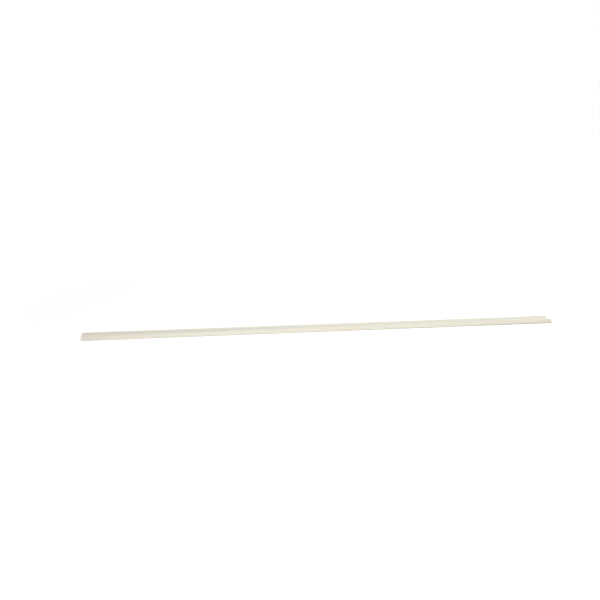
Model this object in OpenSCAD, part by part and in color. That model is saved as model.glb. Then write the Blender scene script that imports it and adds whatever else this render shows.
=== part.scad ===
// Sprung crown moulding, one piece of milled stock, lying on its flat back with its face up.
// X runs along the length, Y across from the wall edge to the ceiling edge, Z up from the back.
// The origin is in the middle of the back's level, under the centre of the bounding box.

/* [Stock] */
// Length of the piece, 8 ft stock
length = 2438.4; // [600:0.1:4900]
// Width across the face, from wall corner to ceiling corner, 3 5/8 in
face_w = 92.1; // [86:0.1:110]
// Thickness of the blank, which the swell and the top arris reach, 9/16 in
thickness = 14.3; // [13.5:0.1:17]
// Angle between the back and the wall once it is installed
spring_angle = 38; // [36:0.5:42]
// Radius that the outer arrises are eased to
arris_r = 0.5; // [0.2:0.05:0.7]

/* [Wall edge] */
// Height of the wall corner above the back
wall_edge_h = 5.2; // [4.6:0.1:7]
// Depth of the lip that stands out from the wall
lip_depth = 3; // [2.4:0.1:4.5]
// Height of the flat fillet on the lip
lip_fillet = 3.4; // [2.8:0.1:4.6]
// Radius of the small cove above the lip
small_cove_r = 5.5; // [3.5:0.1:6.5]
// Depth of the step above the small cove
step_depth = 2.2; // [1.4:0.1:3]
// Height of the fillet on that step
step_fillet = 2.6; // [2:0.1:3.6]

/* [Ogee] */
// Radius of the convex swell
swell_r = 26; // [20:0.1:34]
// Slope of the face where the swell turns into the large cove
turn_slope = 20; // [16:0.5:26]

/* [Ceiling edge] */
// Height of the flat fillet under the ceiling
top_fillet = 6.4; // [4:0.1:8]
// Depth of the quirk between the large cove and the top fillet
quirk_depth = 1.5; // [1:0.1:3]

/* [Hidden] */

// Largest turn between neighbouring facets of the face's arcs, in degrees
arc_step = 3;
// Facets in each eased arris
arris_facets = 4;
// Turn from which a corner counts as an arris, in degrees
arris_turn = 20;

// Directions in the section, named for the installed piece:
// up along the wall, and out along the ceiling
up_wall = [cos(spring_angle), -sin(spring_angle)];
out_ceiling = [sin(spring_angle), cos(spring_angle)];

// The two bearing corners are square, so easing them takes this much off the width at each
eased_off = arris_r * (cos(spring_angle) + sin(spring_angle) - 1);
wall_corner = [-eased_off, wall_edge_h];
ceiling_corner = [face_w + eased_off, thickness - top_fillet * sin(spring_angle)];

// Wall edge, from the corner that meets the wall to the foot of the swell
lip_arris = wall_corner + lip_depth * out_ceiling;
lip_top = lip_arris + lip_fillet * up_wall;
small_cove_centre = lip_top + small_cove_r * out_ceiling;
small_cove_end = small_cove_centre + small_cove_r * up_wall;
step_arris = small_cove_end + step_depth * out_ceiling;
swell_foot = step_arris + step_fillet * up_wall;

// Swell, whose crest just reaches the full thickness
swell_rise = thickness - swell_foot.y;
swell_centre = [
    swell_foot.x + sqrt(swell_rise * (2 * swell_r - swell_rise)),
    thickness - swell_r
];
swell_start = swell_foot - swell_centre;

// Ceiling edge, from the arris of the top fillet in to the foot of the quirk
top_arris = ceiling_corner - top_fillet * up_wall;
quirk_foot = top_arris - quirk_depth * out_ceiling;

// Large cove, which leaves the swell without a kink and ends at the quirk
turn_angle = 90 - turn_slope;
turn_normal = [cos(turn_angle), sin(turn_angle)];
turn_point = swell_centre + swell_r * turn_normal;
cove_span = quirk_foot - turn_point;
large_cove_r = (cove_span * cove_span) / (2 * (cove_span * turn_normal));
large_cove_centre = turn_point + large_cove_r * turn_normal;
cove_end = quirk_foot - large_cove_centre;

// Feet of the two edge bevels, on the back
wall_bevel_foot = wall_corner + wall_corner.y / sin(spring_angle) * up_wall;
ceiling_bevel_foot = ceiling_corner - ceiling_corner.y / cos(spring_angle) * out_ceiling;

// Points of an arc between two angles, without its first point
function arc(centre, r, from, to) =
    let (facets = ceil(abs(to - from) / arc_step))
    [for (i = [1 : facets]) let (a = from + (to - from) * i / facets) centre + r * [cos(a), sin(a)]];

function unit(v) = v / norm(v);

// Turn at b on the way from a to c, positive to the left
function turn(a, b, c) =
    let (p = unit(b - a), q = unit(c - b))
    atan2(p.x * q.y - p.y * q.x, p * q);

// Points that replace an arris at b, on an arc that touches the sides towards a and c
function eased_arris(a, b, c) =
    let (
        angle = turn(a, b, c),
        back = unit(a - b),
        inward = [-back.y, back.x],
        centre = b + arris_r * (tan(abs(angle) / 2) * back + inward),
        first = atan2(-inward.y, -inward.x)
    )
    [for (i = [0 : arris_facets])
        let (d = first + angle * i / arris_facets)
        centre + arris_r * [cos(d), sin(d)]];

// A clockwise outline with its arrises eased; inner corners stay as the cutter leaves them
function eased(outline) =
    let (n = len(outline))
    [for (i = [0 : n - 1])
        let (a = outline[(i + n - 1) % n], b = outline[i], c = outline[(i + 1) % n])
        each turn(a, b, c) < -arris_turn ? eased_arris(a, b, c) : [b]];

// Clockwise, over the face from the wall corner to the ceiling corner and home along the back
face_outline = concat(
    [wall_corner, lip_arris, lip_top],
    arc(small_cove_centre, small_cove_r, 270 - spring_angle, 360 - spring_angle),
    [step_arris, swell_foot],
    arc(swell_centre, swell_r, atan2(swell_start.y, swell_start.x), turn_angle),
    arc(large_cove_centre, large_cove_r, 180 + turn_angle, 360 + atan2(cove_end.y, cove_end.x)),
    [top_arris, ceiling_corner]
);
outline = eased(concat(face_outline, [ceiling_bevel_foot, wall_bevel_foot]));

module crown_moulding() {
    color("#e8e3d0")
        translate([-length / 2, -face_w / 2, 0])
            rotate([90, 0, 90])
                linear_extrude(height = length)
                    polygon(outline);
}

crown_moulding();
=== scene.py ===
"""A length of sprung crown moulding in pale unfinished wood, lying face up on a white studio floor."""

import math

import bpy
from mathutils import Matrix, Vector


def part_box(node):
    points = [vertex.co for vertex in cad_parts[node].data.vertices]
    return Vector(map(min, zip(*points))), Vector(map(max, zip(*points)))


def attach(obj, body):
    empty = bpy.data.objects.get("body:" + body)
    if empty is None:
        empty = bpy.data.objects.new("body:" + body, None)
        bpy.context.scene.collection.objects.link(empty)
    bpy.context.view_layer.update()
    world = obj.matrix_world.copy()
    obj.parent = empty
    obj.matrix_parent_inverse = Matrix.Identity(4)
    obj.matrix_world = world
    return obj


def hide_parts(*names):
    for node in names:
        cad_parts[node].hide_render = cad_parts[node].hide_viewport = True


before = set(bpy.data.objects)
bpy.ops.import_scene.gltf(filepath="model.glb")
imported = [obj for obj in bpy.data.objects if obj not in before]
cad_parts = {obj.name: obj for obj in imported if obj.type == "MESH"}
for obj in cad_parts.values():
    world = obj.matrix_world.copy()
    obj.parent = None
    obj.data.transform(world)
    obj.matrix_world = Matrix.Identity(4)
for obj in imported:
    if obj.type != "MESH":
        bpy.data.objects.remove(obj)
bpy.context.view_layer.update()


def linear(red, green, blue):
    """A display colour, 0 to 255, as scene-linear RGBA."""
    def one(c):
        c /= 255
        return c / 12.92 if c <= 0.04045 else ((c + 0.055) / 1.055) ** 2.4
    return (one(red), one(green), one(blue), 1.0)


MM = 0.001
NODE = "crown_moulding"
LOW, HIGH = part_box(NODE)
LENGTH = HIGH[0] - LOW[0]
WIDTH = HIGH[1] - LOW[1]
THICKNESS = HIGH[2] - LOW[2]

# Run of the stick: its rings in all, how far the sawn arris is rubbed off at each end, and in how many rings
RUN_RINGS = 47
END_EASE = 0.4 * MM
EASE_STEPS = 3
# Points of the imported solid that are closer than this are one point
WELD = 0.001 * MM
# Turns from which an inner corner and an outer arris are drawn sharp
SHARP_HOLLOW = math.radians(16)
SHARP_RIDGE = math.radians(40)
# A face belongs to a sawn end where more than this of its normal points along the stick
END_FACING = 0.5
# Names of the values that the run keeps: the way out of the wood, how far a ring is drawn in, 1 on the
# sawn ends, and the way round the section in metres
OUTWARD = "outward"
INSET = "inset"
END_GRAIN = "end_grain"
GIRTH = "girth"

# Bake map: two strips for the halves of the run, and above them a row for the two ends
BAKE_MAP = "OFBake"
MAP_MARGIN = 0.004
STRIP_HIGH = 0.42
STRIP_ROW = 0.43
END_ROW = 0.87
END_STEP = 0.5
END_SPAN = 0.48

# Waves of the wood's patterns in a metre along, across and through the stick
RING_WAVES = (0.6, 11, 11)
CLOUD_WAVES = (0.9, 13, 13)
FIBRE_WAVES = (5, 420, 420)
PORE_WAVES = (45, 2600, 2600)
SAW_PATCHES = (1, 90, 90)
# A noise lies about this value
NOISE_MIDDLE = 0.5

# Growth rings: where the pith lies from the back's middle, how far and how often it wanders along the stick,
# and how wide a ring is
PITH_Y = -18 * MM
PITH_Z = -75 * MM
PITH_SWAY = 14 * MM
PITH_WAVES = 0.8
# Sideways step in the noise, so that the pith's two ways of wandering differ
PITH_APART = 7.0
RING_WIDTH = 3.1 * MM
# How many ring widths a ring is pushed about
RING_UNEVEN = 1.6
# Parts of a year between which its late wood comes in, and between which it stops
LATE_IN = (0.35, 0.88)
LATE_OUT = (0.9, 1.0)

# Noise values between which the clouds and the pores come in, and the one from which fibres show
CLOUD_IN = (0.45, 0.75)
PORE_IN = (0.62, 0.72)
FIBRE_FROM = 0.35

# A darker, pinker tone towards the left end: where it is fullest and where it has faded out
LEFT_TONE_FROM = -1.25
LEFT_TONE_TO = -0.75

# Saw that cut the ends: place of its arbor and the step of its marks
SAW_Y = 25 * MM
SAW_Z = 118 * MM
SAW_PITCH = 1.3 * MM

# Colours of the wood
EARLY_WOOD = linear(241, 239, 226)
LATE_WOOD = linear(226, 220, 200)
CLOUD_WOOD = linear(233, 228, 211)
FIBRE_WOOD = linear(224, 217, 200)
PORE_WOOD = linear(184, 172, 148)
LEFT_END_TONE = linear(233, 222, 208)
END_EARLY = linear(231, 223, 203)
END_LATE = linear(208, 194, 166)
# How far each of them covers what is under it
LATE_COVER = 0.8
CLOUD_COVER = 0.5
FIBRE_COVER = 0.35
PORE_COVER = 0.2
LEFT_TONE_COVER = 0.7
SAW_COVER = 0.25

# Skin of the wood: roughness as planed, what a fibre adds to it, roughness as sawn, and the gloss
PLANED_ROUGH = 0.56
FIBRE_ROUGH = 0.1
SAWN_ROUGH = 0.82
GLOSS = 0.35
# How high fibres and saw marks stand, and how deep late wood and pores lie
FIBRE_HIGH = 0.008 * MM
SAW_HIGH = 0.04 * MM
LATE_DEEP = 0.006 * MM
PORE_DEEP = 0.01 * MM

# Studio floor, just under the stick
WHITE = (1, 1, 1, 1)
FLOOR_COLOUR = (0.9, 0.9, 0.9, 1)
FLOOR_REACH = 30.0
FLOOR_GAP = 0.2 * MM
# How much the floor shines by itself to the camera: up to the first distance from the middle of the stick,
# where the lamps light it too, and from the second one on, where they no longer do
LIFT_NEAR = 0.38
LIFT_FAR = 1.0
LAMPLIT = 1.3
LAMPS_END = 3.2

# Soft boxes, all of one size: name, place of the middle and watts of each. All aim at the middle of the stick
SOFT_BOX = 1.2
LAMPS = (
    ("low left", (-3.5, 0, 0.42), 9),
    ("low front left", (-1.5, -2.97, 0.42), 51),
    ("high front", (0, -1.93, 2.3), 28),
    ("top right", (1.5, 0, 3), 44),
    ("top left", (-1.5, 0, 3), 18),
    ("high back right", (3, 1.93, 2.3), 20),
    ("low back right", (3, 2.97, 0.42), 30),
    ("low back left", (-1.5, 2.97, 0.42), 30),
)

# Camera, as the photograph was taken: place in metres, turns in degrees, and the lens by the picture's pixels
CAMERA_AT = (-0.9591, -4.2588, 1.4803)
CAMERA_YAW = 10.868
CAMERA_PITCH = 16.94
CAMERA_ROLL = 1.379
SENSOR = 36.0
PHOTO_SIDE = 600
FOCAL_PIXELS = 900


class Value:
    """One output of a node. Sums on it add Math nodes to its tree."""

    def __init__(self, graph, socket):
        self.graph = graph
        self.socket = socket

    def other(self, name):
        """Another output of the same node."""
        return Value(self.graph, self.socket.node.outputs[name])

    def __add__(self, b):
        return self.graph.math("ADD", self, b)

    def __radd__(self, a):
        return self.graph.math("ADD", a, self)

    def __sub__(self, b):
        return self.graph.math("SUBTRACT", self, b)

    def __rsub__(self, a):
        return self.graph.math("SUBTRACT", a, self)

    def __mul__(self, b):
        return self.graph.math("MULTIPLY", self, b)

    def __rmul__(self, a):
        return self.graph.math("MULTIPLY", a, self)

    def __truediv__(self, b):
        return self.graph.math("DIVIDE", self, b)

    def __rtruediv__(self, a):
        return self.graph.math("DIVIDE", a, self)

    def __pow__(self, b):
        return self.graph.math("POWER", self, b)

    def __rpow__(self, a):
        return self.graph.math("POWER", a, self)

    def __neg__(self):
        return self.graph.math("MULTIPLY", self, -1.0)

    def __gt__(self, b):
        return self.graph.math("GREATER_THAN", self, b)

    def __lt__(self, b):
        return self.graph.math("LESS_THAN", self, b)

    def ramp(self, low, high, to_low=0.0, to_high=1.0):
        """Runs smoothly from to_low to to_high as this runs from low to high."""
        slots = {"Value": self, "From Min": low, "From Max": high, "To Min": to_low, "To Max": to_high}
        return self.graph.node("ShaderNodeMapRange", {"interpolation_type": "SMOOTHSTEP"}, slots)


class Graph:
    """A node tree that is built through one method."""

    def __init__(self, tree):
        self.tree = tree

    def node(self, kind, settings=None, slots=None, output=0):
        """Adds a node, sets it, fills its sockets with values or links and returns one output."""
        made = self.tree.nodes.new(kind)
        for name, setting in (settings or {}).items():
            setattr(made, name, setting)
        for name, value in (slots or {}).items():
            if isinstance(value, Value):
                self.tree.links.new(value.socket, made.inputs[name])
            else:
                made.inputs[name].default_value = value
        return Value(self, made.outputs[output]) if made.outputs else made

    def math(self, operation, *values):
        return self.node("ShaderNodeMath", {"operation": operation}, dict(enumerate(values)))

    def vector(self, x=0.0, y=0.0, z=0.0):
        return self.node("ShaderNodeCombineXYZ", slots={"X": x, "Y": y, "Z": z})

    def parts(self, vector):
        """The X, the Y and the Z of a vector."""
        x = self.node("ShaderNodeSeparateXYZ", slots={"Vector": vector})
        return x, x.other("Y"), x.other("Z")

    def scaled(self, vector, factors):
        return self.node("ShaderNodeVectorMath", {"operation": "MULTIPLY"}, {0: vector, 1: factors})

    def noise(self, vector, scale=1.0, detail=2.0, roughness=0.5):
        slots = {"Vector": vector, "Scale": scale, "Detail": detail, "Roughness": roughness}
        return self.node("ShaderNodeTexNoise", {"noise_dimensions": "3D"}, slots)

    def mix(self, factor, first, second):
        """The first colour where factor is 0, the second where it is 1."""
        # The node has slots of one name for each type of data, so its colour slots go by number
        return self.node("ShaderNodeMix", {"data_type": "RGBA"}, {0: factor, 6: first, 7: second}, output=2)


def new_material(name):
    material = bpy.data.materials.new(name)
    material.use_nodes = True
    material.node_tree.nodes.clear()
    return material, Graph(material.node_tree)


def stored(g, geometry, name, value, kind, domain):
    """The geometry with a value kept on it under a name."""
    settings = {"data_type": kind, "domain": domain}
    slots = {"Geometry": geometry, "Name": name, "Value": value}
    return g.node("GeometryNodeStoreNamedAttribute", settings, slots)


def read(g, name, kind):
    """The value that is kept under a name."""
    return g.node("GeometryNodeInputNamedAttribute", {"data_type": kind}, {"Name": name})


def end_outline(g, solid, end_from):
    """The outline of the sawn end as a flat curve that keeps the way out of the wood at each point."""
    solid = g.node("GeometryNodeMergeByDistance", slots={"Geometry": solid, "Distance": WELD})
    across = g.scaled(g.node("GeometryNodeInputNormal"), (0, 1, 1))
    outward = g.node("ShaderNodeVectorMath", {"operation": "NORMALIZE"}, {0: across})
    solid = stored(g, solid, OUTWARD, outward, "FLOAT_VECTOR", "POINT")
    x, y, z = g.parts(g.node("GeometryNodeInputPosition"))
    chosen = {"Geometry": solid, "Selection": x > end_from}
    end = g.node("GeometryNodeSeparateGeometry", {"domain": "FACE"}, chosen)
    rim = g.node("GeometryNodeInputMeshEdgeNeighbors") < 2
    section = g.node("GeometryNodeMeshToCurve", slots={"Mesh": end, "Selection": rim})
    section = g.node("GeometryNodeSetPosition", slots={"Geometry": section, "Position": g.vector(-y, -z)})
    way_round = g.node("GeometryNodeSplineParameter").other("Length")
    return stored(g, section, GIRTH, way_round, "FLOAT", "POINT")


def run_line(g, half, ease, rings, steps):
    """The middle line of the stick. Its rings are close at the ends, where they round the sawn arris."""
    line = g.node("GeometryNodeCurvePrimitiveLine", slots={"Start": g.vector(-half), "End": g.vector(half)})
    run = g.node("GeometryNodeResampleCurve", {"mode": "COUNT"}, {"Curve": line, "Count": rings})
    index = g.node("GeometryNodeInputIndex")
    last = rings - 1
    ring = g.math("MINIMUM", index, last - index)
    turn = g.math("MINIMUM", ring / steps, 1.0) * (math.pi / 2)
    past_ease = g.math("MAXIMUM", ring - steps, 0.0)
    spacing = (half - ease) / (last / 2 - steps)
    from_end = ease * (1 - g.math("COSINE", turn)) + past_ease * spacing
    side = g.math("SIGN", index - last / 2)
    along = g.vector(side * (half - from_end))
    run = g.node("GeometryNodeSetPosition", slots={"Geometry": run, "Position": along})
    run = stored(g, run, INSET, ease * (1 - g.math("SINE", turn)), "FLOAT", "POINT")
    return g.node("GeometryNodeSetCurveNormal", {"mode": "Z_UP"}, {"Curve": run})


def swept(g, run, section):
    """The closed stick, drawn in by the inset of its rings, with its sawn ends marked."""
    sweep = {"Curve": run, "Profile Curve": section, "Fill Caps": True}
    stock = g.node("GeometryNodeCurveToMesh", slots=sweep)
    pull = {0: read(g, OUTWARD, "FLOAT_VECTOR"), "Scale": -read(g, INSET, "FLOAT")}
    inward = g.node("ShaderNodeVectorMath", {"operation": "SCALE"}, pull)
    stock = g.node("GeometryNodeSetPosition", slots={"Geometry": stock, "Offset": inward})
    stock = g.node("GeometryNodeFlipFaces", slots={"Mesh": stock})
    facing, _, _ = g.parts(g.node("GeometryNodeInputNormal"))
    end_face = g.math("ABSOLUTE", facing) > END_FACING
    return stored(g, stock, END_GRAIN, end_face, "FLOAT", "FACE")


def smoothed(g, stock, hollow, ridge):
    """The stick drawn smooth, but for edges that turn in or out by more than the given angles."""
    smooth = {"Geometry": stock, "Shade Smooth": True}
    stock = g.node("GeometryNodeSetShadeSmooth", {"domain": "FACE"}, smooth)
    bend = g.node("GeometryNodeInputMeshEdgeAngle").other("Signed Angle")
    sharp = {"Geometry": stock, "Selection": (bend > ridge) + (bend < -hollow), "Shade Smooth": False}
    return g.node("GeometryNodeSetShadeSmooth", {"domain": "EDGE"}, sharp)


def moulding_tree():
    """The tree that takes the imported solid, lifts the outline off its end and runs it out as smooth stock."""
    tree = bpy.data.node_groups.new("moulding run", "GeometryNodeTree")
    for name, kind in (
        ("Geometry", "NodeSocketGeometry"),
        ("Length", "NodeSocketFloat"),
        ("Rings", "NodeSocketInt"),
        ("End ease", "NodeSocketFloat"),
        ("Ease steps", "NodeSocketInt"),
        ("Sharp hollow", "NodeSocketFloat"),
        ("Sharp ridge", "NodeSocketFloat"),
        ("Material", "NodeSocketMaterial"),
    ):
        tree.interface.new_socket(name, in_out="INPUT", socket_type=kind)
    tree.interface.new_socket("Geometry", in_out="OUTPUT", socket_type="NodeSocketGeometry")
    g = Graph(tree)
    given = g.node("NodeGroupInput")
    half = given.other("Length") / 2
    ease = given.other("End ease")
    section = end_outline(g, given, half - ease)
    run = run_line(g, half, ease, given.other("Rings"), given.other("Ease steps"))
    stock = swept(g, run, section)
    stock = smoothed(g, stock, given.other("Sharp hollow"), given.other("Sharp ridge"))
    real = g.node("GeometryNodeRealizeInstances", slots={"Geometry": stock})
    done = g.node("GeometryNodeSetMaterial", slots={"Geometry": real, "Material": given.other("Material")})
    g.node("NodeGroupOutput", slots={"Geometry": done})
    return tree


def run_stock(material):
    """The moulding as one smooth closed mesh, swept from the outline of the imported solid."""
    tree = moulding_tree()
    blank = bpy.data.objects.new("moulding_stock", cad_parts[NODE].data.copy())
    bpy.context.scene.collection.objects.link(blank)
    modifier = blank.modifiers.new("run", "NODES")
    modifier.node_group = tree
    sizes = {
        "Length": LENGTH,
        "Rings": RUN_RINGS,
        "End ease": END_EASE,
        "Ease steps": EASE_STEPS,
        "Sharp hollow": SHARP_HOLLOW,
        "Sharp ridge": SHARP_RIDGE,
        "Material": material,
    }
    for socket in tree.interface.items_tree:
        if socket.name in sizes:
            modifier[socket.identifier] = sizes[socket.name]
    evaluated = blank.evaluated_get(bpy.context.evaluated_depsgraph_get())
    blank.data = bpy.data.meshes.new_from_object(evaluated)
    blank.modifiers.remove(modifier)
    return blank


def whole_girth(mesh, girths):
    """The way round the section: up to the last point of the outline, and from there to the first."""
    last = max(girths)
    first_point = mesh.vertices[girths.index(min(girths))].co
    closing = mesh.vertices[girths.index(last)].co - first_point
    return last + math.hypot(closing.y, closing.z)


def map_end(uv, corners, right):
    """Lays a sawn end in the top row of the bake map, the right one beside the left one."""
    start = MAP_MARGIN + (END_STEP if right else 0)
    row_high = 1 - END_ROW - MAP_MARGIN
    for k, vertex in corners:
        across = vertex.co.y / WIDTH + 0.5
        up = vertex.co.z / THICKNESS
        uv[k].vector = (start + across * END_SPAN, END_ROW + up * row_high)


def map_run(uv, corners, girths, girth, right):
    """Lays a face of the run in the strip of its half, from the stick's middle out to its end."""
    start = MAP_MARGIN + (STRIP_ROW if right else 0)
    ways = [girths[vertex.index] for _, vertex in corners]
    over_seam = max(ways) - min(ways) > girth / 2
    for (k, vertex), way in zip(corners, ways):
        if over_seam and way < girth / 2:
            way += girth
        along = abs(vertex.co.x) / (LENGTH / 2)
        uv[k].vector = (along, start + way / girth * STRIP_HIGH)


def lay_out(mesh):
    """Gives the mesh its bake map: the two halves of the run as two long strips, the sawn ends above them."""
    girths = [a.value for a in mesh.attributes[GIRTH].data]
    girth = whole_girth(mesh, girths)
    uv = mesh.uv_layers.new(name=BAKE_MAP).uv
    for face in mesh.polygons:
        corners = [(k, mesh.vertices[mesh.loops[k].vertex_index]) for k in face.loop_indices]
        right = face.center.x > 0
        # The run is all four-sided faces, and each end is one face with many sides
        if len(corners) > 4:
            map_end(uv, corners, right)
        else:
            map_run(uv, corners, girths, girth, right)


def from_axis(g, place, axis_y, axis_z):
    """How far each point is from an axis that runs along the stick."""
    _, y, z = g.parts(place)
    away_y = y - axis_y
    away_z = z - axis_z
    return (away_y * away_y + away_z * away_z) ** 0.5


def late_wood(g, place):
    """How far each point is into the late, darker wood of its growth ring."""
    x, _, _ = g.parts(place)
    sway_y = g.noise(g.vector(x), PITH_WAVES, detail=1.0) - NOISE_MIDDLE
    sway_z = g.noise(g.vector(x, PITH_APART), PITH_WAVES, detail=1.0) - NOISE_MIDDLE
    radius = from_axis(g, place, sway_y * PITH_SWAY + PITH_Y, sway_z * PITH_SWAY + PITH_Z)
    uneven = g.noise(g.scaled(place, RING_WAVES))
    year = g.math("FRACT", radius / RING_WIDTH + uneven * RING_UNEVEN)
    return year.ramp(*LATE_IN) * (1 - year.ramp(*LATE_OUT))


def saw_marks(g, place):
    """Arcs that a saw blade leaves across a sawn end."""
    radius = from_axis(g, place, SAW_Y, SAW_Z)
    wave = g.math("SINE", radius * (2 * math.pi / SAW_PITCH))
    patchy = g.noise(g.scaled(place, SAW_PATCHES))
    return (wave * 0.5 + 0.5) * patchy


def planed_colour(g, place, late, fibre, pore):
    """Colour of the planed wood: rings, clouds, fibres and pores, and a darker, pinker tone towards the left
    end.
    """
    cloud = g.noise(g.scaled(place, CLOUD_WAVES)).ramp(*CLOUD_IN)
    x, _, _ = g.parts(place)
    left_tone = x.ramp(LEFT_TONE_FROM, LEFT_TONE_TO, 1.0, 0.0)
    colour = g.mix(late * LATE_COVER, EARLY_WOOD, LATE_WOOD)
    colour = g.mix(cloud * CLOUD_COVER, colour, CLOUD_WOOD)
    colour = g.mix((fibre - FIBRE_FROM) * FIBRE_COVER, colour, FIBRE_WOOD)
    colour = g.mix(pore * PORE_COVER, colour, PORE_WOOD)
    return g.mix(left_tone * LEFT_TONE_COVER, colour, LEFT_END_TONE)


def sawn_colour(g, late, sawn):
    """Colour of the sawn ends: the rings cut across, with the blade's marks."""
    colour = g.mix(late, END_EARLY, END_LATE)
    return g.mix(sawn * SAW_COVER, colour, PORE_WOOD)


def pale_wood():
    """Clear, knot-free pale wood, planed and unfinished: rings, fibres, pores and sawn ends."""
    material, g = new_material("pale wood planed")
    place = g.node("ShaderNodeTexCoord", output="Object")
    end = g.node("ShaderNodeAttribute", {"attribute_name": END_GRAIN}, output="Fac")
    late = late_wood(g, place)
    fibre = g.noise(g.scaled(place, FIBRE_WAVES), detail=3.0)
    pore = g.noise(g.scaled(place, PORE_WAVES), detail=1.0).ramp(*PORE_IN)
    sawn = saw_marks(g, place)
    colour = g.mix(end, planed_colour(g, place, late, fibre, pore), sawn_colour(g, late, sawn))
    planed_rough = fibre * FIBRE_ROUGH + PLANED_ROUGH
    rough = planed_rough + end * (SAWN_ROUGH - planed_rough)
    height = fibre * FIBRE_HIGH - late * LATE_DEEP - pore * PORE_DEEP + end * sawn * SAW_HIGH
    bump = g.node("ShaderNodeBump", slots={"Strength": 1.0, "Distance": 1.0, "Height": height})
    skin = g.node(
        "ShaderNodeBsdfPrincipled",
        slots={"Base Color": colour, "Roughness": rough, "Specular IOR Level": GLOSS, "Normal": bump},
    )
    g.node("ShaderNodeOutputMaterial", slots={"Surface": skin})
    return material


def moulding():
    """The finished stick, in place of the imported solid."""
    stick = run_stock(pale_wood())
    lay_out(stick.data)
    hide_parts(NODE)
    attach(stick, "root")


def seen(g):
    """1 for the rays that should find the surround white: from the camera, off gloss and through glass."""
    rays = g.node("ShaderNodeLightPath")
    plain = g.math("MAXIMUM", rays.other("Is Camera Ray"), rays.other("Is Glossy Ray"))
    return g.math("MAXIMUM", plain, rays.other("Is Transmission Ray"))


def floor():
    """White paper that shows white to the camera and keeps the stick's own shadow."""
    material, g = new_material("studio floor")
    place = g.node("ShaderNodeTexCoord", output="Object")
    distance = g.node("ShaderNodeVectorMath", {"operation": "LENGTH"}, {0: place}, output="Value")
    shine = distance.ramp(LAMPLIT, LAMPS_END, LIFT_NEAR, LIFT_FAR)
    paper = g.node("ShaderNodeBsdfDiffuse", slots={"Color": FLOOR_COLOUR})
    lift = g.node("ShaderNodeEmission", slots={"Color": WHITE, "Strength": seen(g) * shine})
    both = g.node("ShaderNodeAddShader", slots={0: paper, 1: lift})
    g.node("ShaderNodeOutputMaterial", slots={"Surface": both})
    mesh = bpy.data.meshes.new("floor")
    square = ((-1, -1), (1, -1), (1, 1), (-1, 1))
    corners = [(x * FLOOR_REACH, y * FLOOR_REACH, -FLOOR_GAP) for x, y in square]
    mesh.from_pydata(corners, [], [(0, 1, 2, 3)])
    mesh.materials.append(material)
    sheet = bpy.data.objects.new("floor", mesh)
    bpy.context.scene.collection.objects.link(sheet)


def surround():
    """A world that looks white and lights nothing."""
    world = bpy.data.worlds.new("studio")
    world.use_nodes = True
    world.node_tree.nodes.clear()
    g = Graph(world.node_tree)
    white = g.node("ShaderNodeBackground", slots={"Color": WHITE, "Strength": seen(g)})
    g.node("ShaderNodeOutputWorld", slots={"Surface": white})
    bpy.context.scene.world = world


def lamps():
    """Square soft boxes round the stick."""
    for name, place, watts in LAMPS:
        light = bpy.data.lights.new(name, "AREA")
        light.size = SOFT_BOX
        light.energy = watts
        lamp = bpy.data.objects.new(name, light)
        lamp.location = place
        lamp.rotation_euler = (-Vector(place)).to_track_quat("-Z", "Y").to_euler()
        bpy.context.scene.collection.objects.link(lamp)


def camera():
    """Looks along +Y, turned by the yaw, pitch and roll that the photograph was taken with."""
    lens = bpy.data.cameras.new("camera")
    lens.sensor_width = SENSOR
    lens.lens = SENSOR * FOCAL_PIXELS / PHOTO_SIDE
    made = bpy.data.objects.new("camera", lens)
    turn = Matrix.Rotation(-math.radians(CAMERA_YAW), 4, "Z")
    tip = Matrix.Rotation(math.radians(90 - CAMERA_PITCH), 4, "X")
    roll = Matrix.Rotation(math.radians(CAMERA_ROLL), 4, "Z")
    made.matrix_world = Matrix.Translation(CAMERA_AT) @ turn @ tip @ roll
    bpy.context.scene.collection.objects.link(made)
    bpy.context.scene.camera = made


moulding()
floor()
surround()
lamps()
camera()
bpy.context.scene.view_settings.view_transform = "Standard"
